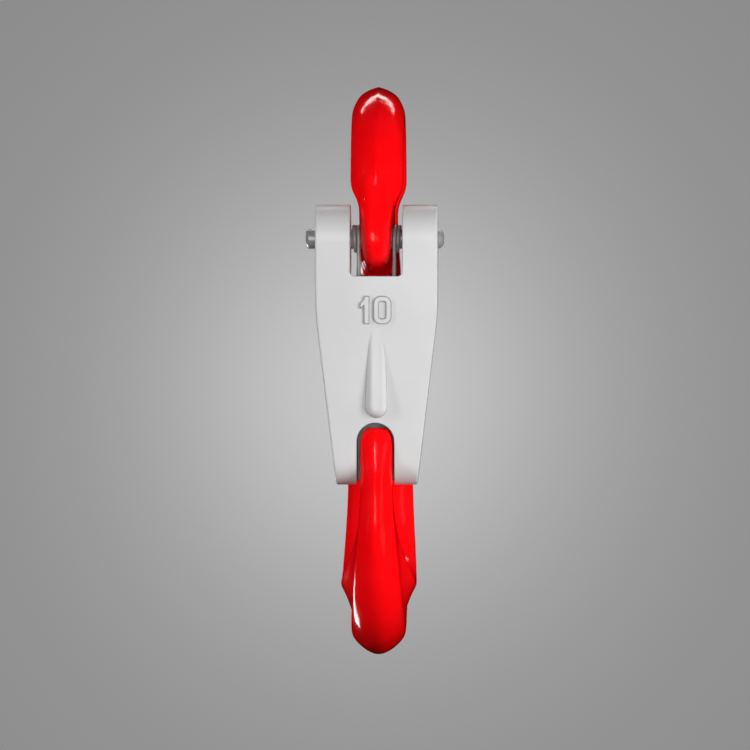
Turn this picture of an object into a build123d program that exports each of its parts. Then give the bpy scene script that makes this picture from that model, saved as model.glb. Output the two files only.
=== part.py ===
from build123d import *
import math
import os

os.makedirs("parts", exist_ok=True)

# Eye sling hook for 10 mm chain, with a cast safety latch sprung shut on a cross pin.
# Millimetres. The origin is the centre of the eye bore, +Z is up, X is the axis of the
# bore and of the latch pin, and the mouth of the hook faces -Y.

# Longer than any feature, for cuts that go right through
through_depth = 60.0

# Eye ring, revolved about X. Its half profile is (x, radius), from the land to the flank
# and from the flank to the crown, with the directions in which the two curves start or end.
eye_bore_radius = 16.5
eye_outer_radius = 32.0
eye_half_width = 8.1
eye_land_half = 2.8
eye_inside = [(eye_land_half, eye_bore_radius), (6.0, 17.9), (7.7, 20.4), (eye_half_width, 23.0)]
eye_outside = [
    (eye_half_width, 23.0),
    (7.75, 25.2),
    (6.9, 27.2),
    (5.6, 29.2),
    (3.3, 30.8),
    (0, eye_outer_radius),
]
eye_land_slope = (1, 0.15)
eye_flank_slope = (0, 1)
eye_crown_slope = (-1, 0.3)

# Neck relief: the flanks of the lower eye step in to leave room for the latch ears.
# The stepped-in flank is (x, z) from its top to its foot.
relief_side_x = 13.0
relief_flank = [
    (8.6, 4.4),
    (8.1, 2.7),
    (7.55, 0.1),
    (6.45, -2.2),
    (5.6, -4.6),
    (5.35, -9.0),
    (5.6, -15.0),
    (6.3, -22.0),
    (6.9, -28.0),
    (7.9, -33.0),
]

# Lug that carries the latch pin, a tongue that narrows from its root to its nose
pin_y = -27.0
pin_z = -14.8
lug_radius = 8.9
lug_wide_half = 6.0
lug_wide_z = 8.0
lug_narrow_half = 3.8
lug_narrow_z = -28.0
lug_pin_half = 4.75
lug_root_y = -10.0
lug_root_z = -20.0
lug_root_radius = 7.0
lug_brow_y = -25.3
lug_brow_z = 1.0
lug_brow_radius = 6.4
lug_edge_radius = 3.6

# Latch pin: chamfered at -X, domed at +X
pin_radius = 3.0
pin_left_x = -21.6
pin_right_x = 20.5
pin_chamfer = 0.8
pin_dome_radius = 2.0

# Torsion spring, one coil on each side of the lug
wire_radius = 0.60
wire_set_radius = 0.61
coil_radius = 3.70
coil_pitch = 1.22
coil_start_x = 5.40
coil_turns = 1.25
coil_room_radius = 4.7
bridge_y = -30.15
bridge_z = -36.0
bridge_corner = 2.2
anchor_y = -17.5
anchor_bend = 1.2
anchor_tip_x = 4.9
anchor_hole_x = 4.7
anchor_hole_radius = 0.70

# Safety latch. The back of its side view is (y, z) from the foot up to the ear.
latch_half_width = 18.65
latch_foot_half_width = 12.35
latch_taper_z = -37.4
taper_blend = 7.0
latch_bottom_z = -89.7
ear_radius = 10.4
latch_back = [
    (-16.6, latch_bottom_z),
    (-16.7, -83.0),
    (-18.8, -71.0),
    (-21.0, -56.0),
    (-20.2, -38.0),
    (-17.4, -23.0),
    (pin_y + ear_radius, pin_z),
]
ear_gap_half = 8.0
ear_hole_radius = 3.08
ear_gap_height = 40.0
crossbar_z = -26.2
gap_corner_radius = 1.5
latch_edge_radius = 0.6
foot_radius = 6.5
plate_thickness = 4.8
front_bottom_y = -31.4
pocket_wall = 3.6
pocket_top_z = -31.5
pocket_bottom_z = -66.0
pocket_corner_radius = 2.5

# Groove in the latch foot that straddles the hook tip
groove_half_width = 5.70
groove_middle_x = -0.3
groove_arch_z = -70.9
groove_floor_y = -19.30
groove_floor_z = -88.0
groove_floor_tilt = 14.0

# Raised size numeral and thumb rib on the latch front
numeral_height = 8.4
numeral_stroke = 1.5
numeral_relief = 0.5
numeral_middle_z = -36.6
one_bar_x = -2.9
one_flag_x = -4.9
one_flag_tip_drop = 2.25
one_flag_foot_drop = 3.75
one_flag_root_drop = 1.95
zero_middle_x = 1.9
zero_width = 5.3
zero_corner = 2.2
rib_top_z = -42.0
rib_nose_z = -66.0
rib_half_width = 3.2
rib_height = 2.3
rib_edge_radius = 2.4


def section_points(length, bulb, waist, flange):
    """Closed outline of a forged section: bulb on the inside, flange on the outside."""
    shoulder = waist + 0.70 * (bulb - waist)
    web = waist + 0.28 * (bulb - waist)
    # Half-width, and how far along the section it sits
    right = [
        (0.50 * bulb, 0.030 * length),
        (0.84 * bulb, 0.095 * length),
        (bulb, 0.200 * length),
        (shoulder, 0.300 * length),
        (web, 0.430 * length),
        (waist, 0.560 * length),
        (flange, 0.760 * length),
        (0.62 * flange, 0.915 * length),
    ]
    left = [(-x, u) for x, u in reversed(right)]
    return [(0, 0)] + right + [(0, length)] + left


def section_plane(inner, outer):
    """Plane through two side-view points (y, z), with its local y running outwards."""
    across = Vector(0, outer[0] - inner[0], outer[1] - inner[1]).normalized()
    return Plane(
        origin=(0, inner[0], inner[1]),
        x_dir=(1, 0, 0),
        z_dir=Vector(1, 0, 0).cross(across),
    )


# Sections from the neck, down the spine, round the bowl and up to the tip.
# Each row: inner (y, z), outer (y, z), bulb, waist and flange half-widths.
hook_sections = [
    ((-15.5, -21.5), (25.5, -13.5), 5.9, 5.9, 5.6),
    ((-9.5, -33.0), (26.8, -24.0), 6.4, 6.4, 6.2),
    ((1.4, -42.5), (29.2, -34.0), 7.0, 6.9, 6.6),
    ((9.2, -52.0), (33.8, -45.0), 7.8, 7.4, 7.1),
    ((15.4, -63.0), (37.9, -57.5), 8.6, 7.9, 7.6),
    ((19.0, -75.0), (41.4, -71.0), 9.3, 8.3, 8.0),
    ((20.1, -87.0), (43.3, -86.0), 9.9, 8.5, 8.2),
    ((19.2, -97.5), (43.2, -100.0), 10.3, 8.5, 8.3),
    ((16.0, -105.8), (37.4, -118.0), 10.9, 8.4, 8.3),
    ((9.3, -112.2), (23.6, -134.6), 11.4, 8.2, 8.2),
    ((0.0, -114.5), (0.0, -141.9), 11.6, 8.0, 8.2),
    ((-9.1, -112.2), (-22.0, -134.6), 10.4, 7.7, 7.8),
    ((-15.7, -105.6), (-34.4, -118.2), 7.2, 6.4, 6.8),
    ((-18.6, -96.5), (-37.8, -101.0), 5.2, 5.1, 5.3),
    ((-19.9, -87.5), (-36.0, -88.5), 4.8, 4.8, 4.7),
    ((-21.8, -80.0), (-34.6, -80.4), 5.0, 5.0, 4.9),
    ((-23.6, -75.6), (-34.0, -76.0), 4.8, 4.8, 4.7),
    ((-25.2, -73.5), (-33.0, -73.7), 4.1, 4.1, 4.0),
    ((-27.2, -72.4), (-31.4, -72.4), 2.4, 2.4, 2.3),
]

# The lug, a rounded tongue that flows out of the eye and carries the pin
with BuildPart() as lug:
    with BuildSketch(Plane.YZ):
        with Locations((pin_y, pin_z)):
            Circle(lug_radius)
        with Locations((lug_root_y, lug_root_z)):
            Circle(lug_root_radius)
        with Locations((lug_brow_y, lug_brow_z)):
            Circle(lug_brow_radius)
        make_hull()
    extrude(amount=lug_wide_half, both=True)
    with BuildSketch(Plane.XZ):
        Polygon(
            (-lug_wide_half, lug_wide_z),
            (lug_wide_half, lug_wide_z),
            (lug_narrow_half, lug_narrow_z),
            (-lug_narrow_half, lug_narrow_z),
            align=None,
        )
    extrude(amount=through_depth, both=True, mode=Mode.INTERSECT)
    fillet(lug.edges().filter_by(Axis.X, reverse=True), lug_edge_radius)

with BuildPart() as hook_body:
    # Eye ring: short cylindrical land inside, full flanks and a slight parting ridge outside
    with BuildSketch(Plane.XZ):
        with BuildLine():
            Line((0, eye_bore_radius), (eye_land_half, eye_bore_radius))
            Spline(*eye_inside, tangents=(eye_land_slope, eye_flank_slope))
            Spline(*eye_outside, tangents=(eye_flank_slope, eye_crown_slope))
            mirror(about=Plane.YZ)
        make_face()
    revolve(axis=Axis.X)

    # Narrow the lower eye
    with BuildSketch(Plane.XZ):
        with BuildLine():
            Spline(*relief_flank)
            Polyline(
                relief_flank[-1],
                (relief_side_x, relief_flank[-1][1]),
                (relief_side_x, relief_flank[0][1]),
                relief_flank[0],
            )
        make_face()
        mirror(about=Plane.YZ)
    extrude(amount=through_depth, both=True, mode=Mode.SUBTRACT)

    # Neck, spine, bowl and tip
    for inner, outer, bulb, waist, flange in hook_sections:
        reach = math.dist(inner, outer)
        with BuildSketch(section_plane(inner, outer)):
            with BuildLine():
                Spline(*section_points(reach, bulb, waist, flange), periodic=True)
            make_face()
    loft()

    add(lug.part)

    # Clear the bore, along the same inner profile as the eye
    with BuildSketch(Plane.XZ):
        with BuildLine():
            Line((0, eye_bore_radius), (eye_land_half, eye_bore_radius))
            Spline(*eye_inside, tangents=(eye_land_slope, eye_flank_slope))
            Polyline(
                eye_inside[-1],
                (relief_side_x, eye_inside[-1][1]),
                (relief_side_x, 0),
                (0, 0),
            )
            mirror(about=Plane.YZ)
        make_face()
    revolve(axis=Axis.X, mode=Mode.SUBTRACT)

    # Room for the spring coils, anchor holes for the spring's ends, then the pin hole
    for side in (-1, 1):
        with BuildSketch(Plane.YZ.offset(side * lug_pin_half)):
            with Locations((pin_y, pin_z)):
                Circle(coil_room_radius)
        extrude(amount=side * eye_half_width, mode=Mode.SUBTRACT)
        with BuildSketch(Plane.YZ.offset(side * anchor_hole_x)):
            with Locations((anchor_y, pin_z + coil_radius)):
                Circle(anchor_hole_radius)
        extrude(amount=side * eye_half_width, mode=Mode.SUBTRACT)
    with BuildSketch(Plane.YZ):
        with Locations((pin_y, pin_z)):
            Circle(pin_radius)
    extrude(amount=through_depth, both=True, mode=Mode.SUBTRACT)

hook_body.part.label = "hook_body"
export_step(hook_body.part, "parts/hook_body.step")


# Latch pin
with BuildPart() as latch_pin:
    with BuildSketch(Plane.YZ.offset(pin_left_x)):
        with Locations((pin_y, pin_z)):
            Circle(pin_radius)
    extrude(amount=pin_right_x - pin_left_x)
    chamfer(latch_pin.edges().sort_by(Axis.X)[0], pin_chamfer)
    fillet(latch_pin.edges().sort_by(Axis.X)[-1], pin_dome_radius)

latch_pin.part.label = "latch_pin"
export_step(latch_pin.part, "parts/latch_pin.step")


# Torsion spring
def lay_wire(line):
    """Sweep the round wire along the line just drawn."""
    with BuildSketch(Plane(origin=line @ 0, z_dir=line % 0)) as wire_section:
        Circle(wire_radius)
    sweep(wire_section.sketch, path=line)


with BuildPart() as latch_spring:
    # Bridge behind the latch plate and the two inner legs
    with BuildLine() as bridge:
        FilletPolyline(
            (-coil_start_x, pin_y - coil_radius, pin_z),
            (-coil_start_x, bridge_y, bridge_z),
            (coil_start_x, bridge_y, bridge_z),
            (coil_start_x, pin_y - coil_radius, pin_z),
            radius=bridge_corner,
        )
    lay_wire(bridge.line)

    for side in (-1, 1):
        # Coil, from the front of the pin up over it and outwards
        coil_length = coil_turns * coil_pitch
        coil_plane = Plane(
            origin=(side * coil_start_x, pin_y, pin_z),
            x_dir=(0, -1, 0),
            z_dir=(side, 0, 0),
        )
        with BuildLine() as coil:
            Helix(coil_pitch, coil_length, coil_radius, lefthand=side > 0)
        coil_line = coil.line.moved(coil_plane.location)
        lay_wire(coil_line)

        # Outer leg, straight back from the top of the coil and into its hole in the neck
        leg_x = side * (coil_start_x + coil_length)
        leg_z = pin_z + coil_radius
        with BuildLine() as outer_leg:
            FilletPolyline(
                (leg_x, pin_y, leg_z),
                (leg_x, anchor_y, leg_z),
                (side * anchor_tip_x, anchor_y, leg_z),
                radius=anchor_bend,
            )
        lay_wire(outer_leg.line)

        # Set in the wire where the legs leave the coil
        with Locations(coil_line @ 0, coil_line @ 1):
            Sphere(wire_set_radius)

latch_spring.part.label = "latch_spring"
export_step(latch_spring.part, "parts/latch_spring.step")


# Safety latch
def leaning_plane(y, z, tilt):
    """Plane through (y, z) that faces the mouth side and leans back by tilt towards its foot."""
    return Plane(
        origin=(0, y, z),
        x_dir=(1, 0, 0),
        z_dir=(0, -math.cos(tilt), -math.sin(tilt)),
    )


# The front is one plane, tangent to the ears
foot_reach = math.dist((pin_y, pin_z), (front_bottom_y, latch_bottom_z))
foot_lean = math.atan2(pin_y - front_bottom_y, pin_z - latch_bottom_z)
front_tilt = math.asin(ear_radius / foot_reach) - foot_lean
front_top_y = pin_y - ear_radius * math.cos(front_tilt)
front_top_z = pin_z - ear_radius * math.sin(front_tilt)
front_plane = leaning_plane(front_top_y, front_top_z, front_tilt)
floor_plane = leaning_plane(groove_floor_y, groove_floor_z, math.radians(groove_floor_tilt))
rib_length = rib_top_z - rib_nose_z
rib_top_y = front_top_y + (front_top_z - rib_top_z) * math.tan(front_tilt)
rib_plane = leaning_plane(rib_top_y, rib_top_z, front_tilt - math.asin(rib_height / rib_length))
taper = (latch_half_width - latch_foot_half_width) / (latch_taper_z - latch_bottom_z)

# Groove for the hook tip, open to the front and below
with BuildPart() as groove:
    with BuildSketch(Plane.XZ):
        with Locations((groove_middle_x, groove_arch_z - groove_half_width)):
            Circle(groove_half_width)
        with Locations((groove_middle_x, groove_arch_z - groove_half_width)):
            Rectangle(
                2 * groove_half_width,
                through_depth,
                align=(Align.CENTER, Align.MAX),
            )
    extrude(amount=through_depth)
    split(bisect_by=floor_plane, keep=Keep.TOP)

# Thumb rib: a round-ended bar, sunk in the plate at its top and proud of it at its foot
with BuildPart() as thumb_rib:
    with BuildSketch(rib_plane):
        with Locations((0, -rib_length / 2)):
            SlotOverall(rib_length + 2 * rib_half_width, 2 * rib_half_width, rotation=90)
    extrude(amount=-2 * plate_thickness)
    rib_top_edges = thumb_rib.faces().sort_by(Axis.Y)[0].edges()
    fillet(rib_top_edges, rib_edge_radius)
    split(bisect_by=front_plane.offset(-plate_thickness / 2), keep=Keep.TOP)

with BuildPart() as safety_latch:
    # Side view: round ear, straight front and a foot that thickens behind the tip
    with BuildSketch(Plane.YZ):
        with BuildLine():
            Polyline(
                (pin_y + ear_radius, pin_z),
                (front_top_y, front_top_z),
                (front_bottom_y, latch_bottom_z),
                latch_back[0],
            )
            Spline(*latch_back)
        make_face()
        with Locations((pin_y, pin_z)):
            Circle(ear_radius)
    extrude(amount=latch_half_width, both=True)

    # Front view: parallel ears that blend into straight tapered sides
    with BuildSketch(Plane.XZ):
        with BuildLine():
            Line((0, 0), (latch_half_width, 0))
            Line((latch_half_width, 0), (latch_half_width, latch_taper_z + taper_blend))
            Spline(
                (latch_half_width, latch_taper_z + taper_blend),
                (latch_half_width - taper * taper_blend, latch_taper_z - taper_blend),
                tangents=((0, -1), (-taper, -1)),
            )
            Polyline(
                (latch_half_width - taper * taper_blend, latch_taper_z - taper_blend),
                (latch_foot_half_width, latch_bottom_z),
                (0, latch_bottom_z),
            )
            mirror(about=Plane.YZ)
        make_face()
    extrude(amount=through_depth, both=True, mode=Mode.INTERSECT)

    # Round the foot, then the whole outline
    fillet(safety_latch.edges().filter_by(Axis.X).group_by(Axis.Z)[0], foot_radius)
    fillet(safety_latch.edges().filter_by(Axis.X, reverse=True), latch_edge_radius)

    # Gap between the ears
    with BuildSketch(Plane.XZ):
        with Locations((0, crossbar_z)):
            RectangleRounded(
                2 * ear_gap_half,
                ear_gap_height,
                gap_corner_radius,
                align=(Align.CENTER, Align.MIN),
            )
    extrude(amount=through_depth, both=True, mode=Mode.SUBTRACT)

    # Cored back, open behind the front plate
    pocket_top = pocket_top_z - front_top_z
    pocket_bottom = pocket_bottom_z - front_top_z
    pocket_half_top = latch_half_width - pocket_wall
    pocket_half_bottom = pocket_half_top - taper * (latch_taper_z - pocket_bottom_z)
    with BuildSketch(front_plane.offset(-plate_thickness)) as pocket:
        with BuildLine():
            Polyline(
                (-pocket_half_top, pocket_top),
                (pocket_half_top, pocket_top),
                (pocket_half_bottom, pocket_bottom),
                (-pocket_half_bottom, pocket_bottom),
                close=True,
            )
        make_face()
        fillet(pocket.vertices(), pocket_corner_radius)
        # Carried up to the ear gap, so that the spring's inner legs can pass
        with Locations((0, pocket_bottom)):
            Rectangle(
                2 * ear_gap_half,
                crossbar_z + gap_corner_radius - pocket_bottom_z,
                align=(Align.CENTER, Align.MIN),
            )
    extrude(amount=-through_depth, mode=Mode.SUBTRACT)

    add(groove.part, mode=Mode.SUBTRACT)
    add(thumb_rib.part)

    # Raised size numeral
    with BuildSketch(front_plane):
        with Locations((one_bar_x, numeral_middle_z - front_top_z)):
            Rectangle(numeral_stroke, numeral_height)
        with BuildLine():
            flag_top = numeral_middle_z - front_top_z + numeral_height / 2
            Polyline(
                (one_bar_x, flag_top),
                (one_flag_x, flag_top - one_flag_tip_drop),
                (one_flag_x, flag_top - one_flag_foot_drop),
                (one_bar_x, flag_top - one_flag_root_drop),
                close=True,
            )
        make_face()
        with Locations((zero_middle_x, numeral_middle_z - front_top_z)):
            RectangleRounded(zero_width, numeral_height, zero_corner)
            RectangleRounded(
                zero_width - 2 * numeral_stroke,
                numeral_height - 2 * numeral_stroke,
                zero_corner - numeral_stroke,
                mode=Mode.SUBTRACT,
            )
    extrude(amount=numeral_relief, both=True)

    # Running holes for the pin
    with BuildSketch(Plane.YZ):
        with Locations((pin_y, pin_z)):
            Circle(ear_hole_radius)
    extrude(amount=through_depth, both=True, mode=Mode.SUBTRACT)

safety_latch.part.label = "safety_latch"
export_step(safety_latch.part, "parts/safety_latch.step")
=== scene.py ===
import math

import bpy
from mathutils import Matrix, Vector


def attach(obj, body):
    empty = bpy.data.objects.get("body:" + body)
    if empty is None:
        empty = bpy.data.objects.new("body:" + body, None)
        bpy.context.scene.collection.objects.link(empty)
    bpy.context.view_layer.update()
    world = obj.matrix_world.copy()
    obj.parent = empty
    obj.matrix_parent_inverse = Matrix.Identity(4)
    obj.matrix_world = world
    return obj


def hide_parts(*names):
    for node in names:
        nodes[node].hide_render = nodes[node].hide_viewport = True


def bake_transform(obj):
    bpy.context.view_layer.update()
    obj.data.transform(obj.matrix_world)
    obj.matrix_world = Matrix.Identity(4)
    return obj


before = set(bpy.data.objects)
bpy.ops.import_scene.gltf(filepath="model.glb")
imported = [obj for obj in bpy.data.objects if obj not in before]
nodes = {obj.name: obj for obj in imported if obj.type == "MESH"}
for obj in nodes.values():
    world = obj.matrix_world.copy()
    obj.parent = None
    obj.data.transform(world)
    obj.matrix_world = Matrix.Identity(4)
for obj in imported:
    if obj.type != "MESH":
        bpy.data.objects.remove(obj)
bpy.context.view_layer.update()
scene = bpy.context.scene

MM = 0.001

# Latch pin and its spring, as in the CAD part
PIN_Y = -27.0 * MM
PIN_Z = -14.8 * MM
WIRE_RADIUS = 0.60 * MM
COIL_RADIUS = 3.70 * MM
COIL_PITCH = 1.22 * MM
COIL_START_X = 5.40 * MM
COIL_START_ANGLE = 180
COIL_END_ANGLE = -270
BRIDGE_Y = -30.15 * MM
BRIDGE_Z = -36.0 * MM
BRIDGE_CORNER = 2.2 * MM
ANCHOR_Y = -17.5 * MM
ANCHOR_BEND = 1.2 * MM
ANCHOR_TIP_X = 4.9 * MM
WIRE_SIDES = 14
BEND_STEPS = 8
LEG_STEPS = 8
ANCHOR_STEPS = 6
COIL_STEP = 5

# Voxel remesh that rounds the hook like a forging
FORGED_VOXEL = 0.4 * MM
FORGED_PASSES = 8
FORGED_FACTOR = 0.5

# Shader detail and the sockets of a colour mix node
NOISE_ROUGHNESS = 0.55
BEVEL_SAMPLES = 6
MIX_FACTOR = 0
MIX_FROM = 6
MIX_TO = 7
MIX_RESULT = 2

# Camera, tuned to the photograph's view
CAMERA_AZIMUTH = 1.3
CAMERA_ELEVATION = 0.0
CAMERA_DISTANCE = 5.0
CAMERA_REACH = 20.0
FRAME_HEIGHT = 229.9 * MM
SENSOR_WIDTH = 24.0
FRAME_CENTRE_X = -1.15 * MM
FRAME_CENTRE_Z = -56.3 * MM

# Studio: a round paper wall, further out than the camera, and the soft air in it
STUDIO_RADIUS = 5.2
STUDIO_CURVE = 1.0
STUDIO_CURVE_STEPS = 16
STUDIO_SIDES = 96
STUDIO_TOP_Z = 3.0
FLOOR_Z = -1.0
PAPER_GLOW = 0.163
GLOW_GAP = 0.184
GLOW_SIZE = 0.039
GLOW_POWER = 0.124
AIR_BELOW = 0.04
AIR_ABOVE = 0.16
AIR_GREY = 0.8


# --- materials ---------------------------------------------------------------


class Shader:
    """A small helper that adds nodes to one material and links them."""

    def __init__(self, name):
        self.material = bpy.data.materials.new(name)
        self.material.use_nodes = True
        self.tree = self.material.node_tree
        self.tree.nodes.clear()
        self.output = self.add("ShaderNodeOutputMaterial")
        self.surface = self.add("ShaderNodeBsdfPrincipled")
        self.link(self.surface, "BSDF", self.output, "Surface")
        self.place = self.add("ShaderNodeTexCoord")

    def add(self, kind, **settings):
        node = self.tree.nodes.new(kind)
        for key, value in settings.items():
            setattr(node, key, value)
        return node

    def link(self, source, out_name, target, in_name):
        self.tree.links.new(source.outputs[out_name], target.inputs[in_name])

    def noise(self, scale, detail=3.0):
        node = self.add("ShaderNodeTexNoise")
        node.inputs["Scale"].default_value = scale
        node.inputs["Detail"].default_value = detail
        node.inputs["Roughness"].default_value = NOISE_ROUGHNESS
        self.link(self.place, "Object", node, "Vector")
        return node

    def ramp(self, source, out_name, stops):
        """Ramp between two stops, each a position and a colour."""
        node = self.add("ShaderNodeValToRGB")
        for element, (position, colour) in zip(node.color_ramp.elements, stops):
            element.position = position
            element.color = (*colour, 1.0)
        self.link(source, out_name, node, "Fac")
        return node

    def bump(self, height, out_name, strength, distance, under=None):
        node = self.add("ShaderNodeBump")
        node.inputs["Strength"].default_value = strength
        node.inputs["Distance"].default_value = distance
        self.link(height, out_name, node, "Height")
        if under is not None:
            self.link(under, "Normal", node, "Normal")
        return node

    def bevel(self, radius):
        node = self.add("ShaderNodeBevel", samples=BEVEL_SAMPLES)
        node.inputs["Radius"].default_value = radius
        return node

    def paint_edge_shade(self, colour, radius, shade_colour):
        """Paint shade as a darker colour in a narrow band along sharp edges and inside corners.
        """
        flat = self.add("ShaderNodeNewGeometry")
        match = self.add("ShaderNodeVectorMath", operation="DOT_PRODUCT")
        self.link(self.bevel(radius), "Normal", match, 0)
        self.link(flat, "True Normal", match, 1)
        shade_band = self.ramp(match, "Value", [(0.80, grey(0.85)), (0.985, grey(0.0))])
        mix = self.add("ShaderNodeMix", data_type="RGBA")
        self.link(shade_band, "Color", mix, MIX_FACTOR)
        self.link(colour, "Color", mix, MIX_FROM)
        mix.inputs[MIX_TO].default_value = (*shade_colour, 1.0)
        return mix


def grey(value):
    return (value, value, value)


def red_coat():
    """Glossy red coat over a forging: soft waviness, fine orange peel, duller patches."""
    s = Shader("red_coat")
    tone = s.noise(70.0, detail=4.0)
    colour = s.ramp(tone, "Fac", [(0.30, (0.90, 0.0015, 0.003)), (0.70, (0.98, 0.003, 0.006))])
    s.link(colour, "Color", s.surface, "Base Color")
    patches = s.noise(160.0, detail=5.0)
    rough = s.ramp(patches, "Fac", [(0.35, grey(0.09)), (0.80, grey(0.18))])
    s.link(rough, "Color", s.surface, "Roughness")
    s.surface.inputs["Specular IOR Level"].default_value = 0.20
    edge = s.bevel(0.9 * MM)
    wavy = s.bump(s.noise(110.0, detail=1.5), "Fac", 0.5, 0.6 * MM, under=edge)
    peel = s.bump(s.noise(1300.0, detail=2.0), "Fac", 0.12, 0.04 * MM, under=wavy)
    s.link(peel, "Normal", s.surface, "Normal")
    return s.material


def latch_steel():
    """Zinc-plated casting: pale satin metal, faintly mottled, with a fine cast grain, and painted
    shade along its sharp edges and in its inside corners.
    """
    s = Shader("latch_steel")
    tone = s.noise(60.0, detail=4.0)
    colour = s.ramp(tone, "Fac", [(0.30, grey(0.57)), (0.72, grey(0.61))])
    # Painted shade: a near-black band along the latch's sharp edges and inside corners
    edge_shaded = s.paint_edge_shade(colour, 0.55 * MM, grey(0.08))
    s.link(edge_shaded, MIX_RESULT, s.surface, "Base Color")
    s.surface.inputs["Metallic"].default_value = 0.10
    s.surface.inputs["Specular IOR Level"].default_value = 0.3
    patches = s.noise(240.0, detail=5.0)
    rough = s.ramp(patches, "Fac", [(0.30, grey(0.42)), (0.75, grey(0.52))])
    s.link(rough, "Color", s.surface, "Roughness")
    edge = s.bevel(0.45 * MM)
    wavy = s.bump(s.noise(120.0, detail=1.5), "Fac", 0.15, 0.3 * MM, under=edge)
    grain = s.bump(s.noise(2400.0, detail=3.0), "Fac", 0.15, 0.04 * MM, under=wavy)
    s.link(grain, "Normal", s.surface, "Normal")
    return s.material


def pin_steel():
    """Plain steel dowel with faint drawn marks and a few lighter rubs."""
    s = Shader("pin_steel")
    rubs = s.noise(400.0, detail=4.0)
    colour = s.ramp(rubs, "Fac", [(0.35, grey(0.38)), (0.75, grey(0.50))])
    s.link(colour, "Color", s.surface, "Base Color")
    s.surface.inputs["Metallic"].default_value = 0.5
    rough = s.ramp(s.noise(700.0), "Fac", [(0.3, grey(0.35)), (0.7, grey(0.48))])
    s.link(rough, "Color", s.surface, "Roughness")
    edge = s.bevel(0.25 * MM)
    marks = s.bump(s.noise(1600.0, detail=3.0), "Fac", 0.2, 0.04 * MM, under=edge)
    s.link(marks, "Normal", s.surface, "Normal")
    return s.material


def spring_steel():
    """Grey drawn spring wire with faint streaks."""
    s = Shader("spring_steel")
    streaks = s.noise(900.0, detail=4.0)
    colour = s.ramp(streaks, "Fac", [(0.3, grey(0.36)), (0.75, grey(0.48))])
    s.link(colour, "Color", s.surface, "Base Color")
    s.surface.inputs["Metallic"].default_value = 0.6
    rough = s.ramp(s.noise(1500.0), "Fac", [(0.3, grey(0.45)), (0.7, grey(0.60))])
    s.link(rough, "Color", s.surface, "Roughness")
    marks = s.bump(s.noise(2600.0, detail=3.0), "Fac", 0.2, 0.03 * MM)
    s.link(marks, "Normal", s.surface, "Normal")
    return s.material


def studio_paper():
    """Plain pale studio paper, evenly lit through from behind."""
    s = Shader("studio_paper")
    colour = s.ramp(s.noise(3.0), "Fac", [(0.2, grey(0.825)), (0.8, grey(0.835))])
    s.link(colour, "Color", s.surface, "Base Color")
    s.surface.inputs["Roughness"].default_value = 0.9
    s.surface.inputs["Emission Color"].default_value = (1, 1, 1, 1)
    s.surface.inputs["Emission Strength"].default_value = PAPER_GLOW
    return s.material


def dress(obj, material):
    obj.data.materials.clear()
    obj.data.materials.append(material)


coat = red_coat()
zinc = latch_steel()
steel = pin_steel()
wire = spring_steel()


# --- forging and casting -----------------------------------------------------


def soft_copy(node, name, voxel, passes):
    """A finer copy of a CAD node, its edges and joints rounded as forging leaves them."""
    mesh = nodes[node].data.copy()
    piece = bpy.data.objects.new(name, mesh)
    scene.collection.objects.link(piece)
    remesh = piece.modifiers.new("remesh", "REMESH")
    remesh.mode = "VOXEL"
    remesh.voxel_size = voxel
    remesh.use_smooth_shade = True
    relax = piece.modifiers.new("relax", "SMOOTH")
    relax.iterations = passes
    relax.factor = FORGED_FACTOR
    bpy.context.view_layer.update()
    evaluated = piece.evaluated_get(bpy.context.evaluated_depsgraph_get())
    finished = bpy.data.meshes.new_from_object(evaluated)
    piece.modifiers.clear()
    piece.data = finished
    for polygon in finished.polygons:
        polygon.use_smooth = True
    return piece


hook = soft_copy("hook_body", "forged_hook", FORGED_VOXEL, FORGED_PASSES)
dress(hook, coat)
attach(hook, "hook")
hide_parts("hook_body")

dress(nodes["safety_latch"], zinc)
dress(nodes["latch_pin"], steel)


# --- torsion spring ----------------------------------------------------------


def coil_point(angle):
    """Point on the right-hand coil at an angle about the pin, in degrees."""
    turned = (COIL_START_ANGLE - angle) / 360
    return Vector(
        (
            COIL_START_X + COIL_PITCH * turned,
            PIN_Y + COIL_RADIUS * math.cos(math.radians(angle)),
            PIN_Z + COIL_RADIUS * math.sin(math.radians(angle)),
        )
    )


def spring_path():
    """Centre line of the right half: bridge, bend, inner leg and coil."""
    points = [Vector((0, BRIDGE_Y, BRIDGE_Z))]
    for step in range(BEND_STEPS + 1):
        bend = math.radians(90 * step / BEND_STEPS)
        points.append(
            Vector(
                (
                    COIL_START_X - BRIDGE_CORNER * (1 - math.sin(bend)),
                    BRIDGE_Y,
                    BRIDGE_Z + BRIDGE_CORNER * (1 - math.cos(bend)),
                )
            )
        )
    foot = points[-1]
    top = coil_point(COIL_START_ANGLE)
    points += [foot.lerp(top, step / LEG_STEPS) for step in range(1, LEG_STEPS)]
    turns = range(COIL_START_ANGLE, COIL_END_ANGLE - 1, -COIL_STEP)
    points += [coil_point(angle) for angle in turns]
    return points


def anchor_path():
    """Centre line of the right outer leg, from the coil to its hole in the neck."""
    start = coil_point(COIL_END_ANGLE)
    points = [start - Vector((0, WIRE_RADIUS, 0)), start]
    for step in range(ANCHOR_STEPS + 1):
        bend = math.radians(90 * step / ANCHOR_STEPS)
        points.append(
            Vector(
                (
                    start.x - ANCHOR_BEND * (1 - math.cos(bend)),
                    ANCHOR_Y - ANCHOR_BEND * (1 - math.sin(bend)),
                    start.z,
                )
            )
        )
    points.append(Vector((ANCHOR_TIP_X, ANCHOR_Y, start.z)))
    return points


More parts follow.
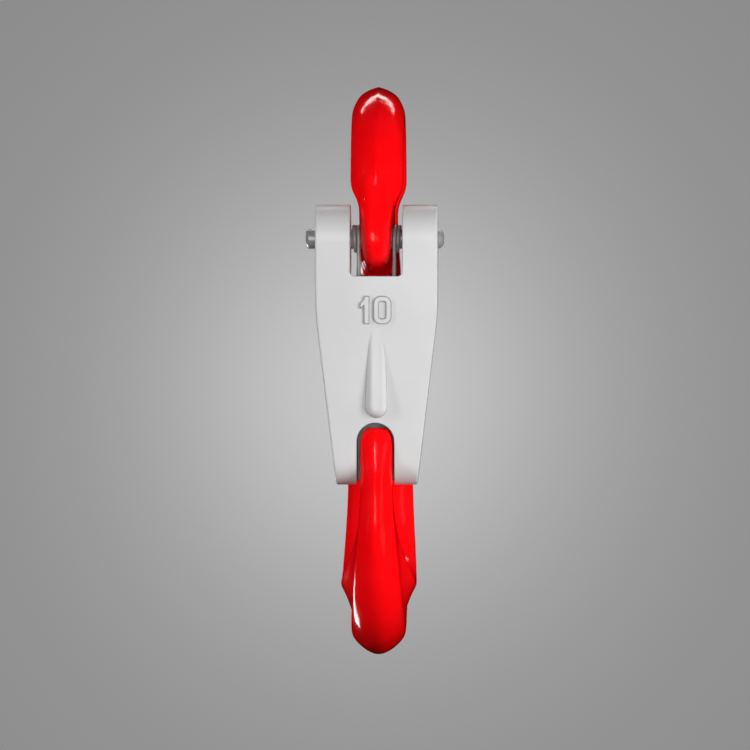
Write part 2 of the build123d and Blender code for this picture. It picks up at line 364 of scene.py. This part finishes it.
def tube(name, points):
    """Round spring wire along a line of points, smooth along its length, with flat cut ends."""
    sides = WIRE_SIDES
    across = Vector((0, 0, 1))
    verts = []
    rings = []
    last = len(points) - 1
    for i, point in enumerate(points):
        ahead = (points[min(i + 1, last)] - points[max(i - 1, 0)]).normalized()
        across = (across - ahead * across.dot(ahead)).normalized()
        up = ahead.cross(across)
        rings.append(len(verts))
        for k in range(sides):
            turn = 2 * math.pi * k / sides
            outward = across * math.cos(turn) + up * math.sin(turn)
            verts.append(point + outward * WIRE_RADIUS)
    faces = []
    for a, b in zip(rings, rings[1:]):
        for k in range(sides):
            nxt = (k + 1) % sides
            faces.append((a + k, a + nxt, b + nxt, b + k))
    faces.append(tuple(range(rings[0] + sides - 1, rings[0] - 1, -1)))
    faces.append(tuple(range(rings[-1], rings[-1] + sides)))
    mesh = bpy.data.meshes.new(name)
    mesh.from_pydata([tuple(v) for v in verts], [], faces)
    mesh.update()
    for polygon in mesh.polygons:
        polygon.use_smooth = len(polygon.vertices) == 4
    piece = bpy.data.objects.new(name, mesh)
    scene.collection.objects.link(piece)
    return piece


def spring_piece(name, path, side):
    """Wire along a right-hand path, or its mirror image when side is -1."""
    piece = tube(name, [Vector((side * p.x, p.y, p.z)) for p in path])
    dress(piece, wire)
    return piece


# Each spring half sits between the hook and the latch, and the outer legs stay on the hook
for side, name in ((1, "spring_right"), (-1, "spring_left")):
    half = spring_piece(name, spring_path(), side)
    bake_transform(half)
    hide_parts("latch_spring")
    leg = spring_piece(name + "_anchor", anchor_path(), side)
    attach(leg, "hook")
    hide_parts("latch_spring")


# --- studio ------------------------------------------------------------------


def round_studio():
    """Pale paper floor that curves up into a round wall.

    The hook's surfaces get no light, reflection or shadow from it.
    """
    profile = [(0.0, FLOOR_Z)]
    for step in range(STUDIO_CURVE_STEPS + 1):
        turn = math.radians(90 * step / STUDIO_CURVE_STEPS)
        profile.append(
            (
                STUDIO_RADIUS - STUDIO_CURVE + STUDIO_CURVE * math.sin(turn),
                FLOOR_Z + STUDIO_CURVE - STUDIO_CURVE * math.cos(turn),
            )
        )
    profile.append((STUDIO_RADIUS, STUDIO_TOP_Z))
    verts = []
    for step in range(STUDIO_SIDES):
        turn = 2 * math.pi * step / STUDIO_SIDES
        verts += [(r * math.cos(turn), r * math.sin(turn), z) for r, z in profile]
    rows = len(profile)
    faces = []
    for step in range(STUDIO_SIDES):
        here = step * rows
        there = (step + 1) % STUDIO_SIDES * rows
        for k in range(rows - 1):
            faces.append((here + k, there + k, there + k + 1, here + k + 1))
    mesh = bpy.data.meshes.new("studio_paper")
    mesh.from_pydata(verts, [], faces)
    for polygon in mesh.polygons:
        polygon.use_smooth = True
    paper = bpy.data.objects.new("studio_paper", mesh)
    scene.collection.objects.link(paper)
    dress(paper, studio_paper())
    paper.visible_diffuse = False
    paper.visible_glossy = False
    paper.visible_shadow = False


def area_light(name, place, aim, size, power, matte=True, gloss=True):
    """Rectangular lamp, its size given as width and height, for matte or glossy light or both."""
    light = bpy.data.lights.new(name, "AREA")
    light.energy = power
    light.shape = "RECTANGLE"
    light.size, light.size_y = size
    obj = bpy.data.objects.new(name, light)
    obj.location = place
    obj.rotation_euler = (Vector(aim) - Vector(place)).to_track_quat("-Z", "Y").to_euler()
    obj.visible_diffuse = matte
    obj.visible_glossy = gloss
    scene.collection.objects.link(obj)


def lights():
    """Lamps round the hook, and a pool of light on the wall behind it."""
    middle = (0, 0, FRAME_CENTRE_Z)
    eye = (0, 0, 0)
    bowl = (0, 0, -0.12)

    # Lamps without gloss light the surfaces, from the right, the front, the left and behind.
    # Lamps without matte only shine in them: a streak down the front, a line over the eye
    # and a line along the lower left of the bowl.
    area_light("key", (0.22, -0.19, -0.06), middle, size=(0.10, 0.30), power=0.84, gloss=False)
    area_light("room", (0.10, -1.20, 0.00), middle, size=(0.40, 0.40), power=5.7, gloss=False)
    area_light("glint", (-0.22, -1.15, 0.10), middle, size=(0.025, 0.45), power=3.2, matte=False)
    area_light("fill", (-0.95, -0.40, 0.10), middle, size=(0.10, 0.50), power=4.9, gloss=False)
    area_light("rim_top", (0.0, 0.42, 0.50), eye, size=(0.90, 0.08), power=2.2, matte=False)
    area_light("rim_low", (-0.45, 0.42, -0.34), bowl, size=(0.10, 0.30), power=1.3, matte=False)
    area_light("room_back", (-0.9, 1.6, 0.05), middle, size=(0.60, 0.60), power=12.0, gloss=False)

    # The pool lies straight behind the hook in the photograph's view
    glow_x = FRAME_CENTRE_X - STUDIO_RADIUS * math.tan(math.radians(CAMERA_AZIMUTH))
    area_light(
        "glow",
        (glow_x, STUDIO_RADIUS - GLOW_GAP, FRAME_CENTRE_Z),
        (glow_x, STUDIO_RADIUS, FRAME_CENTRE_Z),
        size=(GLOW_SIZE, GLOW_SIZE),
        power=GLOW_POWER,
    )


def studio_air():
    """Soft air, brighter from above than from below. It doesn't reflect in the hook."""
    world = bpy.data.worlds.new("studio")
    world.use_nodes = True
    tree = world.node_tree
    sky = tree.nodes["Background"]
    sky.inputs["Color"].default_value = (*grey(AIR_GREY), 1)
    direction = tree.nodes.new("ShaderNodeTexCoord")
    parts = tree.nodes.new("ShaderNodeSeparateXYZ")
    # The direction's height runs from -1, straight down, to 1, straight up
    level = tree.nodes.new("ShaderNodeMapRange")
    level.inputs["From Min"].default_value = -1.0
    level.inputs["From Max"].default_value = 1.0
    level.inputs["To Min"].default_value = AIR_BELOW
    level.inputs["To Max"].default_value = AIR_ABOVE
    tree.links.new(direction.outputs["Generated"], parts.inputs["Vector"])
    tree.links.new(parts.outputs["Z"], level.inputs["Value"])
    tree.links.new(level.outputs["Result"], sky.inputs["Strength"])
    world.cycles_visibility.glossy = False
    return world


def photograph_camera():
    """Camera that frames the hook as the photograph does."""
    camera_data = bpy.data.cameras.new("camera")
    camera = bpy.data.objects.new("camera", camera_data)
    scene.collection.objects.link(camera)
    azimuth = math.radians(CAMERA_AZIMUTH)
    elevation = math.radians(CAMERA_ELEVATION)
    target = Vector((FRAME_CENTRE_X, 0, FRAME_CENTRE_Z))
    towards = Vector(
        (
            math.sin(azimuth) * math.cos(elevation),
            -math.cos(azimuth) * math.cos(elevation),
            math.sin(elevation),
        )
    )
    camera.location = target + towards * CAMERA_DISTANCE
    camera.rotation_euler = (-towards).to_track_quat("-Z", "Y").to_euler()
    camera_data.sensor_width = SENSOR_WIDTH
    camera_data.lens = SENSOR_WIDTH * CAMERA_DISTANCE / FRAME_HEIGHT
    camera_data.clip_end = CAMERA_REACH
    return camera


round_studio()
lights()
scene.world = studio_air()
scene.camera = photograph_camera()

scene.view_settings.view_transform = "Standard"
